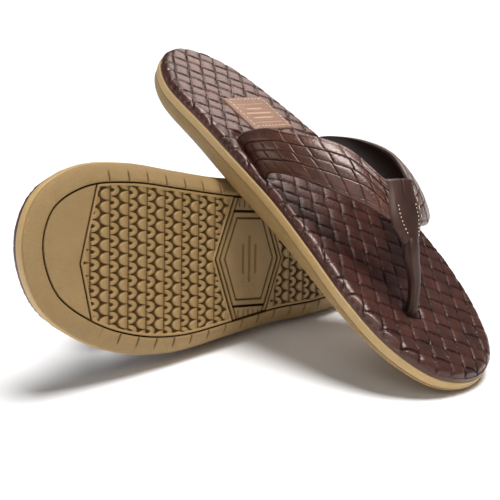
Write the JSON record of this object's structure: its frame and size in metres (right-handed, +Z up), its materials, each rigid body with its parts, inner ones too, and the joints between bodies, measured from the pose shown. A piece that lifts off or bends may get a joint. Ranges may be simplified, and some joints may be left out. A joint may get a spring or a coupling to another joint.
{
  "type": "flip flop",
  "caption": "Pair of leather thong sandals, one on its edge showing the tread and its mate leaning on it, with woven footbeds, wide straps and toe posts.",
  "frame": {"origin": "centre of the pair's bounding box, at floor level", "axes": "+Z up from the floor, +X to the right and +Y away from someone who looks at the standing shoe's tread"},
  "size_m": [0.258, 0.2114, 0.1716],
  "materials": {
    "outsole_rubber": "satin moulded rubber",
    "tread_rubber": "satin moulded rubber",
    "rand_rubber": "smooth buffed rubber",
    "foam": "matte closed-cell foam",
    "board": "matte fibre board",
    "footbed_leather": "glossy embossed leather",
    "label_leather": "matte tan leather",
    "strap_leather": "satin croc-embossed leather",
    "lining_leather": "smooth dark leather",
    "post_leather": "smooth satin leather",
    "webbing": "matte woven tape"
  },
  "bodies": {
    "right_flip_flop": {"right_outsole": "outsole_rubber", "right_toe_pad": "outsole_rubber", "right_forefoot_tread": "tread_rubber", "right_waist_badge": "outsole_rubber", "right_medial_waist_pad": "outsole_rubber", "right_lateral_waist_pad": "outsole_rubber", "right_heel_tread": "tread_rubber", "right_rand": "rand_rubber", "right_midsole": "foam", "right_insole_board": "board", "right_footbed_foam": "foam", "right_footbed_cover": "footbed_leather", "right_heel_label": "label_leather", "right_medial_strap_upper": "strap_leather", "right_medial_strap_lining": "lining_leather", "right_medial_strap_tab": "lining_leather", "right_lateral_strap_upper": "strap_leather", "right_lateral_strap_lining": "lining_leather", "right_lateral_strap_tab": "lining_leather", "right_throat_piece": "post_leather", "right_toe_post_sleeve": "post_leather", "right_toe_post_core": "webbing", "right_toe_post_anchor": "webbing"},
    "left_flip_flop": {"left_outsole": "outsole_rubber", "left_toe_pad": "outsole_rubber", "left_forefoot_tread": "tread_rubber", "left_waist_badge": "outsole_rubber", "left_medial_waist_pad": "outsole_rubber", "left_lateral_waist_pad": "outsole_rubber", "left_heel_tread": "tread_rubber", "left_rand": "rand_rubber", "left_midsole": "foam", "left_insole_board": "board", "left_footbed_foam": "foam", "left_footbed_cover": "footbed_leather", "left_heel_label": "label_leather", "left_medial_strap_upper": "strap_leather", "left_medial_strap_lining": "lining_leather", "left_medial_strap_tab": "lining_leather", "left_lateral_strap_upper": "strap_leather", "left_lateral_strap_lining": "lining_leather", "left_lateral_strap_tab": "lining_leather", "left_throat_piece": "post_leather", "left_toe_post_sleeve": "post_leather", "left_toe_post_core": "webbing", "left_toe_post_anchor": "webbing"}
  },
  "joints": [
    {"name": "lift_off", "type": "slide", "parent": "right_flip_flop", "child": "left_flip_flop", "axis": [0, 0, 1], "range_m": [0, 0.25]}
  ]
}
